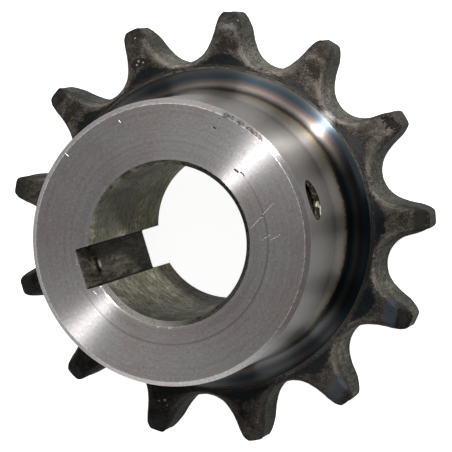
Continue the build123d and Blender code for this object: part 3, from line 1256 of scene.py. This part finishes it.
def scale_colour(finish, finishes, gap, to_gap, cloud, patch, speck):
    """The scale, pale and streaked round the gaps and darker on the tips, and the noise it follows."""
    shoulder = finish.both(finish.fade(to_gap, 2.1, 0.9), finish.fade(finish.radius, 39.5, 35.0))
    along_gap = finish.vector(finish.both(gap, 2.2), finish.both(finish.azimuth, 0.12), 0.0)
    streak = finish.fade(finish.grain(along_gap, 1.6), 0.35, 0.65, 0.035, 0.1)
    tip = finish.both(finish.fade(finish.radius, 40.4, 41.3), finish.around(TIP_SHADES))
    value = finish.plus(finish.both(cloud, 0.36), finish.both(patch, 0.3))
    value = finish.plus(value, finish.both(speck, 0.34))
    value = finish.plus(value, finish.both(shoulder, streak))
    value = finish.minus(value, finish.both(tip, 0.12))
    base = finish.ramp(value, [(at, linear(*tint)) for at, tint in SCALE_COLOURS])
    base = finish.blend(0.12, base, finishes.scale)
    base = finish.blend(finish.both(shoulder, 0.3), base, linear(114, 109, 101))
    torn = finish.both(finish.near(to_gap, 0.95, 0.55), finish.fade(finish.facing(125), 0.3, 0.9, 0.2, 1.0))
    torn_dark = finish.both(torn, finish.fade(speck, 0.51, 0.57, 0.0, 0.85))
    base = finish.blend(torn_dark, base, linear(20, 19, 17))
    torn_pale = finish.both(torn, finish.fade(speck, 0.46, 0.4, 0.0, 0.55))
    base = finish.blend(torn_pale, base, linear(158, 153, 145))
    # Painted shade and light round the bore, from the table, over the scale's own colour
    return finish.shade(base, finish.around(SCALE_SHADES)), value


def faced_ring_colour(finish, cloud, patch):
    """The ring beside the fillet, with fine turned lines under the scale."""
    profile = finish.vector(finish.radius, finish.both(cloud, 0.6), 0.0)
    lines = finish.grain(profile, 2.4, detail=4.0, roughness=0.7)
    steel = finish.blend(finish.fade(lines, 0.38, 0.64), linear(52, 49, 46), linear(104, 99, 93))
    # A pale line near the ring's inner edge, shown only on the lamps' side: partly a turned line and partly a
    # painted highlight
    pale = finish.both(finish.near(finish.radius, 32.4, 0.25), finish.fade(cloud, 0.55, 0.45, 0.2, 0.8))
    pale = finish.both(pale, finish.fade(finish.facing(235), 0.3, 0.8))
    steel = finish.blend(pale, steel, linear(128, 125, 119))
    steel = finish.blend(finish.fade(patch, 0.52, 0.66, 0.0, 0.7), steel, linear(34, 31, 29))
    return finish.shade(steel, finish.around(RING_SHADES))


def burnt_feet(finish, sizes, finishes, base, above, uneven, cloud, speck):
    """Lays heat-blackened steel over the foot of each tooth, paler toward the lamps as painted light, with a
    dark line on round the gaps.
    """
    off_tooth = finish.maths("PINGPONG", finish.azimuth, 180 / sizes.teeth)
    reach = finish.both(finish.fade(off_tooth, 0.0, 10.5, 3.1, 0.05), finish.around(FOOT_SIZES))
    past_foot = finish.minus(finish.radius, finish.plus(reach, 33.0))
    past_foot = finish.plus(past_foot, finish.both(uneven, 0.9))
    foot = finish.both(finish.fade(past_foot, 0.3, -0.4), finish.fade(off_tooth, 11.5, 7.0))
    foot = finish.both(foot, finish.both(above, finish.fade(finish.radius, 32.8, 33.3, 0.3, 1.0)))
    black = finish.blend(finish.around(FOOT_SHADES), finishes.oxide, linear(70, 71, 72))
    black = finish.blend(finish.fade(cloud, 0.44, 0.56, 0.0, 0.5), black, linear(26, 25, 24))
    black = finish.shade(black, finish.fade(speck, 0.35, 0.65, 0.8, 1.2))
    base = finish.blend(finish.both(foot, 0.93), base, black)
    line = finish.both(finish.near(past_foot, 0.1, 0.3), finish.fade(off_tooth, 4.0, 8.0))
    return finish.blend(finish.both(finish.both(line, above), 0.75), base, linear(24, 22, 20))


def forged_scale(sizes, finishes):
    """Rough brown forging scale, scuffed pale round the gaps and heat-blackened at the teeth's feet, with
    painted light and shade round the bore.
    """
    finish = Finish("forged_scale", {"Metallic": 0.0, "Specular IOR Level": 0.02})
    gap = finish.node("ShaderNodeAttribute", output="Fac", attribute_name="gap_distance")
    cloud = finish.grain(finish.place, 0.3, detail=6.0, roughness=0.72, distortion=0.5)
    patch = finish.grain(finish.place, 1.1, detail=5.0, roughness=0.75)
    speck = finish.grain(finish.place, 3.6, detail=2.0, roughness=0.7)
    above = finish.fade(finish.height, 9.4, 10.6)
    uneven = finish.fade(patch, 0.3, 0.7, -0.5, 0.5)
    to_gap = finish.plus(gap, uneven)
    base, value = scale_colour(finish, finishes, gap, to_gap, cloud, patch, speck)

    # The edge along the gap's wall has the wall's own grey
    edge = finish.plus(gap, finish.both(uneven, 0.35))
    base = finish.blend(finish.both(finish.near(edge, 0.3, 0.22), 0.45), base, linear(24, 22, 19))
    base = finish.blend(finish.fade(edge, 0.28, 0.08, 0.0, 0.9), base, wall_colour(finish, finishes))

    ring = finish.fade(finish.plus(finish.radius, finish.both(uneven, 0.3)), 33.15, 32.85)
    base = finish.blend(finish.both(ring, above), base, faced_ring_colour(finish, cloud, patch))
    base = burnt_feet(finish, sizes, finishes, base, above, uneven, cloud, speck)

    # Stains on the teeth, a painted highlight beside the fillet where the lamp's glint runs on, and small
    # pale chips
    warp = finish.plus(finish.fade(patch, 0.3, 0.7, -0.6, 0.6), finish.fade(speck, 0.3, 0.7, -0.4, 0.4))
    grainy = finish.fade(speck, 0.35, 0.6, 1.0, 0.8)
    for start, end, width, stain in STAINS:
        mask = finish.stroke(on_plate(sizes, *start), on_plate(sizes, *end), width, warp)
        base = finish.blend(finish.both(mask, grainy), base, linear(*stain))
    painted_highlight = finish.spot(on_plate(sizes, 207.0, 31.8), 2.6, 0.1)
    painted_highlight = finish.both(painted_highlight, finish.fade(speck, 0.62, 0.45, 0.6, 1.0))
    base = finish.blend(painted_highlight, base, linear(206, 204, 200))
    chips = [finish.spot(on_plate(sizes, azimuth, radius), size) for azimuth, radius, size in CHIPS]
    base = finish.blend(finish.both(finish.most(chips), 0.8), base, linear(150, 147, 141))

    roughness = finish.fade(speck, 0.3, 0.7, 0.5, 0.75)
    finish.feed(finish.shader, {"Base Color": base, "Roughness": roughness})
    finish.bump(value, 0.5)
    return finish.material


# --- Gap walls, bore, keyway and screws --------------------------------------------------------

WALL_SHADES = (  # azimuth, how pale the gap walls are, where 0.5 is plain: partly the walls' own colour and partly painted light and shade
    (0, 0.5),
    (97, 0.43),
    (125, 1.0),
    (152, 0.46),
    (180, 0.28),
    (208, 0.54),
    (235, 0.63),
    (263, 0.58),
    (360, 0.5),
)


def wall_colour(finish, finishes):
    """The gap walls' grey, with streaks along the cut, dull patches and small pits."""
    streak = finish.grain(finish.drawn_out(1, 1, 0.2), 1.4, detail=5.0, roughness=0.75)
    cloud = finish.grain(finish.place, 0.3, detail=3.0)
    pits = finish.grain(finish.place, 2.6, detail=3.0, roughness=0.7)
    base = finish.blend(finish.fade(streak, 0.4, 0.6), finishes.milled, linear(46, 46, 41))
    base = finish.blend(finish.fade(cloud, 0.42, 0.62, 0.0, 0.6), base, linear(46, 43, 38))
    base = finish.blend(finish.fade(pits, 0.55, 0.64, 0.0, 0.85), base, linear(22, 21, 19))
    base = finish.blend(finish.fade(pits, 0.44, 0.36, 0.0, 0.75), base, linear(124, 122, 110))
    # Painted light and shade: by the table round the bore, and paler deep in the gaps than out toward the
    # tips
    light = finish.both(finish.around(WALL_SHADES), finish.fade(finish.radius, 35.0, 39.0, 2.0, 0.8))
    return finish.shade(base, light)


def milled_steel(sizes, finishes):
    """Grey gap walls, dark along the back edge."""
    finish = Finish("milled_steel", {"Metallic": 0.0, "Specular IOR Level": 0.03})
    grain = finish.grain(finish.place, 2.0, detail=4.0, roughness=0.7)
    ragged = finish.plus(finish.height, finish.fade(grain, 0.3, 0.7, -0.8, 0.8))
    base = wall_colour(finish, finishes)
    base = finish.blend(finish.fade(ragged, 1.6, 0.5, 0.0, 0.8), base, linear(26, 25, 22))
    finish.feed(finish.shader, {"Base Color": base, "Roughness": finish.fade(grain, 0.3, 0.7, 0.6, 0.8)})
    finish.bump(grain, 0.12)
    return finish.material


TORN_THREAD_GLINTS = (  # start, end and width in millimetres, in the side screw's hole: a torn thread crest, painted bright as a highlight
    ((-25.75, 1.75, 33.3), (-25.9, 1.05, 33.0), 0.28),
    ((-25.9, 1.05, 33.0), (-26.7, 1.2, 33.0), 0.26),
    ((-26.7, 1.25, 33.0), (-27.2, 0.6, 32.75), 0.34),
    ((-27.2, 0.6, 32.75), (-27.2, 1.5, 32.9), 0.32),
    ((-27.4, 1.6, 32.65), (-27.25, 3.4, 34.1), 0.16),
)


def bore_colour(finish, finishes):
    """The bore's oily olive steel, with circular tool marks, and stains and pits drawn out round it."""
    drift = finish.grain(finish.place, 0.1, detail=2.0)
    profile = finish.vector(finish.both(finish.radius, 0.4), finish.height, finish.both(drift, 0.9))
    lines = finish.grain(profile, 1.5, detail=5.0, roughness=0.75)
    patches = finish.grain(finish.drawn_out(1, 1, 0.3), 0.14, detail=3.0, distortion=1.0)
    round_bore = finish.drawn_out(0.4, 0.4, 0.8)
    cloud = finish.grain(round_bore, 0.8, detail=6.0, roughness=0.7)
    pits = finish.grain(round_bore, 2.4, detail=4.0, roughness=0.7)
    base = finish.blend(finish.fade(patches, 0.46, 0.5), finishes.bored, linear(96, 93, 77))
    base = finish.blend(finish.fade(patches, 0.52, 0.58, 0.0, 0.5), base, linear(58, 62, 57))
    base = finish.blend(finish.fade(cloud, 0.47, 0.58, 0.0, 0.65), base, linear(62, 62, 54))
    base = finish.blend(finish.fade(cloud, 0.44, 0.34, 0.0, 0.35), base, linear(140, 136, 125))
    base = finish.blend(finish.fade(lines, 0.46, 0.62, 0.0, 0.45), base, linear(66, 63, 54))
    base = finish.blend(finish.fade(pits, 0.53, 0.58, 0.0, 0.8), base, linear(34, 32, 26))
    # Painted light and shade: paler on the side toward azimuth 310 and darker across from it
    return finish.shade(base, finish.fade(finish.facing(310), -0.2, 0.8, 0.68, 2.5))


def keyway_colour(finish):
    """The keyway's brown-grey steel, streaked along its length, black along its corners, and painted paler
    deep down.
    """
    streak = finish.grain(finish.drawn_out(1, 1, 0.12), 1.3, detail=4.0, roughness=0.7)
    along = finish.drawn_out(1, 1, 0.3)
    cloud = finish.grain(along, 0.5, detail=6.0, roughness=0.7)
    pits = finish.grain(along, 1.1, detail=4.0, roughness=0.7)
    base = finish.blend(finish.fade(streak, 0.42, 0.58), linear(104, 99, 88), linear(70, 66, 56))
    base = finish.blend(finish.fade(cloud, 0.46, 0.58, 0.0, 0.45), base, linear(56, 52, 42))
    base = finish.blend(finish.fade(pits, 0.54, 0.6, 0.0, 0.85), base, linear(26, 24, 18))
    off_middle = finish.maths("ABSOLUTE", finish.y)
    ragged = finish.plus(off_middle, finish.fade(cloud, 0.4, 0.6, -1.0, 1.0))
    base = finish.blend(finish.fade(ragged, 3.0, 4.2, 0.0, 0.7), base, linear(28, 26, 20))
    base = finish.blend(finish.fade(off_middle, 3.55, 3.75, 0.0, 0.85), base, linear(18, 16, 12))
    # Painted light: paler deep down, where little light falls
    return finish.shade(base, finish.fade(finish.height, 42.0, 0.0, 0.75, 2.0))


def bored_steel(sizes, finishes):
    """Dark oily steel, with the keyway cut along it and a tapped hole across it."""
    finish = Finish("bored_steel", {"Metallic": 0.0, "Specular IOR Level": 0.015})
    lines = finish.grain(finish.vector(0.0, finish.height, 0.0), 1.7, detail=5.0, roughness=0.8)
    pits = finish.grain(finish.place, 1.5, detail=4.0, roughness=0.75)

    # The steel is paler deep down, where little light falls on it
    base = finish.shade(bore_colour(finish, finishes), finish.fade(finish.height, 42.0, 0.0, 1.0, 3.2))
    off_middle = finish.maths("ABSOLUTE", finish.y)
    in_keyway = finish.both(finish.fade(finish.x, 15.0, 15.3), finish.fade(off_middle, 4.15, 4.05))
    base = finish.blend(in_keyway, base, keyway_colour(finish))

    # The side screw's hole: darkened inside and black on one half as painted shadow, black at part of its
    # rim, and a torn thread crest across the middle painted bright as a highlight
    in_hole = finish.fade(finish.x, -19.0, -19.5)
    base = finish.shade(base, finish.fade(in_hole, 0.0, 1.0, 1.0, 0.45))
    shadowed_half = finish.plus(finish.y, finish.fade(pits, 0.3, 0.7, -0.9, 0.9))
    at_rim = finish.both(finish.fade(finish.x, -26.3, -26.7), finish.fade(finish.y, 1.2, 1.8))
    grime = finish.both(finish.most([finish.fade(shadowed_half, 1.0, 0.2), at_rim]), in_hole)
    black = finish.blend(finish.fade(pits, 0.5, 0.62), linear(22, 20, 17), linear(84, 78, 66))
    base = finish.blend(finish.both(grime, 0.94), base, black)
    torn = finish.most([finish.stroke(*mark) for mark in TORN_THREAD_GLINTS])
    base = finish.blend(torn, base, linear(160, 155, 134))

    roughness = finish.fade(lines, 0.3, 0.7, 0.42, 0.62)
    finish.feed(finish.shader, {"Base Color": base, "Roughness": roughness})
    finish.bump(finish.minus(lines, pits), 0.05)
    return finish.material


def screw_steel(finishes):
    """Blackened screw steel with brown grime in it, its metal showing at the tip that shows in the keyway,
    painted paler there as light since the tip lies in shade.
    """
    finish = Finish("screw_steel", {"Specular IOR Level": 0.05})
    cloud = finish.grain(finish.place, 1.2, detail=4.0)
    base = finish.blend(finish.fade(cloud, 0.35, 0.7), finishes.screw, linear(66, 58, 46))
    tip = finish.spot((SCREW_TIP, 0.0, SCREW_HEIGHT), 0.85)
    bare_and_painted_light = finish.blend(finish.fade(cloud, 0.4, 0.6), linear(168, 163, 150), linear(112, 107, 95))
    base = finish.blend(tip, base, bare_and_painted_light)
    metallic = finish.fade(tip, 0.0, 1.0, 0.4, 0.0)
    roughness = finish.fade(cloud, 0.3, 0.7, 0.4, 0.6)
    finish.feed(finish.shader, {"Base Color": base, "Metallic": metallic, "Roughness": roughness})
    finish.bump(cloud, 0.03)
    return finish.material


def packed_grime():
    """Grime with the keyway's own colour, darkest round the screw's point."""
    finish = Finish("packed_grime", {"Metallic": 0.0, "Specular IOR Level": 0.015})
    off_axis = finish.vector(0.0, finish.y, finish.minus(finish.height, SCREW_HEIGHT))
    off_axis = finish.vector_maths("LENGTH", off_axis, output="Value")
    base = finish.blend(finish.near(off_axis, 1.25, 0.4), keyway_colour(finish), linear(20, 18, 14))
    cloud = finish.grain(finish.place, 0.9, detail=5.0, roughness=0.7)
    finish.feed(finish.shader, {"Base Color": base, "Roughness": finish.fade(cloud, 0.3, 0.7, 0.55, 0.8)})
    finish.bump(cloud, 0.15)
    return finish.material


# --- Stage -------------------------------------------------------------------------------------

FLOOR_REACH = 3.0  # metres from the bore's axis to the floor's sides
FLOOR_DROP = 0.05 * MM  # the gap that keeps the floor's surface and the plate's back apart
LAMP_TARGET = Vector((0, 0, 20 * MM))
CAMERA_REACH = 20.0  # metres


def heading(azimuth, elevation):
    """The direction at an azimuth round the bore and an elevation above the floor."""
    return Vector(
        (
            math.cos(azimuth) * math.cos(elevation),
            math.sin(azimuth) * math.cos(elevation),
            math.sin(elevation),
        )
    )


def floor_paint(stage):
    """Plain pale paint that gives part of its own white, so that shadows on it stay light."""
    material = bpy.data.materials.new("floor_paint")
    material.use_nodes = True
    nodes = Nodes(material.node_tree)
    kinds = ("Is Camera Ray", "Is Glossy Ray", "Is Transmission Ray")
    seen = nodes.most([nodes.node("ShaderNodeLightPath", output=kind) for kind in kinds])
    sockets = {
        "Base Color": (*stage.floor, 1.0),
        "Roughness": 0.9,
        "Specular IOR Level": 0.1,
        "Emission Color": (1.0, 1.0, 1.0, 1.0),
        "Emission Strength": nodes.both(seen, stage.floor_glow),
    }
    nodes.feed(nodes.tree.nodes["Principled BSDF"], sockets)
    return material


def sky(stage):
    """A white sky, brighter overhead and softly brighter on the lamps' side."""
    world = bpy.data.worlds.new("sky")
    world.use_nodes = True
    nodes = Nodes(world.node_tree)
    direction = nodes.node("ShaderNodeTexCoord", output="Generated")
    up = nodes.node("ShaderNodeSeparateXYZ", {0: direction}, output="Z")
    level = nodes.fade(up, 0.1, 0.6, stage.sky_low, stage.sky_high)
    toward_lamps = nodes.toward(direction, heading(stage.sky_azimuth, stage.sky_elevation))
    soft = nodes.fade(toward_lamps, 0.35, 1.0, 0.0, stage.sky_soft)
    sockets = {"Color": (1.0, 1.0, 1.0, 1.0), "Strength": nodes.plus(level, soft)}
    nodes.feed(nodes.tree.nodes["Background"], sockets)
    return world


def add_floor(stage):
    """The floor, just under the plate's back."""
    mesh = bpy.data.meshes.new("floor")
    work = bmesh.new()
    bmesh.ops.create_grid(work, x_segments=1, y_segments=1, size=FLOOR_REACH)
    work.to_mesh(mesh)
    work.free()
    mesh.materials.append(floor_paint(stage))
    floor = add_object("floor", mesh)
    floor.location.z = -FLOOR_DROP


def add_lamp(name, power, size, place):
    """A round lamp that shines on the sprocket."""
    light = bpy.data.lights.new(name, "AREA")
    light.shape = "DISK"
    light.size = size
    light.energy = power
    lamp = add_object(name, light)
    lamp.location = place
    lamp.rotation_euler = (LAMP_TARGET - place).to_track_quat("-Z", "Y").to_euler()


def add_camera(stage):
    """The scene's camera."""
    view = bpy.data.cameras.new("camera")
    view.angle = stage.field_of_view
    view.clip_end = CAMERA_REACH
    camera = add_object("camera", view)
    camera.matrix_world = Matrix.LocRotScale(stage.camera_place, stage.camera_turn, None)
    bpy.context.scene.camera = camera


# --- Operators ---------------------------------------------------------------------------------

FINISH_MAKERS = {
    "turned": turned_steel,
    "forged": forged_scale,
    "milled": milled_steel,
    "bored": bored_steel,
}


class SPROCKET_OT_body(Operator):
    """Build the sprocket's body over the CAD solid"""

    bl_idname = "sprocket.body"
    bl_label = "Body"

    def execute(self, context):
        sizes = context.scene.sprocket_sizes
        finishes = context.scene.sprocket_finishes
        materials = [FINISH_MAKERS[finish](sizes, finishes) for finish in FINISHES]
        body = place_object("sprocket_body", body_mesh("sprocket_body", sizes), materials)
        for side in (1, -1):
            cut_hole(body, sizes, side, materials[FINISHES.index("bored")])
        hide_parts("sprocket")
        return {"FINISHED"}


class SPROCKET_OT_screws(Operator):
    """Give the two set screws their finish"""

    bl_idname = "sprocket.screws"
    bl_label = "Set screws"

    def execute(self, context):
        material = screw_steel(context.scene.sprocket_finishes)
        for name in ("keyway_set_screw", "side_set_screw"):
            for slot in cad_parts[name].material_slots:
                slot.material = material
        return {"FINISHED"}


class SPROCKET_OT_grime(Operator):
    """Pack the keyway screw's hole with grime, up to its point"""

    bl_idname = "sprocket.grime"
    bl_label = "Grime"

    def execute(self, context):
        mesh = grime_mesh("keyway_grime", context.scene.sprocket_sizes)
        grime = place_object("keyway_grime", mesh, [packed_grime()])
        return {"FINISHED"}


class SPROCKET_OT_stage(Operator):
    """Set the floor, the sky, the lamps and the camera"""

    bl_idname = "sprocket.stage"
    bl_label = "Stage"

    def execute(self, context):
        stage = context.scene.sprocket_stage
        context.scene.view_settings.view_transform = "Standard"
        context.scene.world = sky(stage)
        add_floor(stage)
        main_place = heading(stage.lamp_azimuth, stage.lamp_elevation) * stage.lamp_distance
        add_lamp("main_lamp", stage.lamp_power, stage.lamp_size, main_place)
        low_place = heading(stage.low_lamp_azimuth, stage.low_lamp_elevation) * stage.lamp_distance
        add_lamp("low_lamp", stage.low_lamp_power, stage.low_lamp_size, low_place)
        add_camera(stage)
        return {"FINISHED"}


class SPROCKET_PT_panel(Panel):
    """The sprocket's pieces and stage"""

    bl_idname = "SPROCKET_PT_panel"
    bl_label = "Chain sprocket"
    bl_space_type = "VIEW_3D"
    bl_region_type = "UI"
    bl_category = "Sprocket"

    def draw(self, context):
        for operator in OPERATORS:
            self.layout.operator(operator.bl_idname)


OPERATORS = (SPROCKET_OT_body, SPROCKET_OT_screws, SPROCKET_OT_grime, SPROCKET_OT_stage)
GROUPS = {
    "sprocket_sizes": SprocketSizes,
    "sprocket_finishes": SprocketFinishes,
    "sprocket_stage": SprocketStage,
}


def register():
    """Registers the add-on's classes and hangs its settings on the scene."""
    for kind in (*GROUPS.values(), *OPERATORS, SPROCKET_PT_panel):
        bpy.utils.register_class(kind)
    for name, group in GROUPS.items():
        setattr(bpy.types.Scene, name, PointerProperty(type=group))


def unregister():
    """Takes the settings off the scene and the classes out again."""
    for name in GROUPS:
        delattr(bpy.types.Scene, name)
    for kind in reversed((*GROUPS.values(), *OPERATORS, SPROCKET_PT_panel)):
        bpy.utils.unregister_class(kind)


def main():
    """Builds the whole scene."""
    register()
    bpy.ops.sprocket.body()
    bpy.ops.sprocket.screws()
    bpy.ops.sprocket.grime()
    bpy.ops.sprocket.stage()


if __name__ == "__main__":
    main()
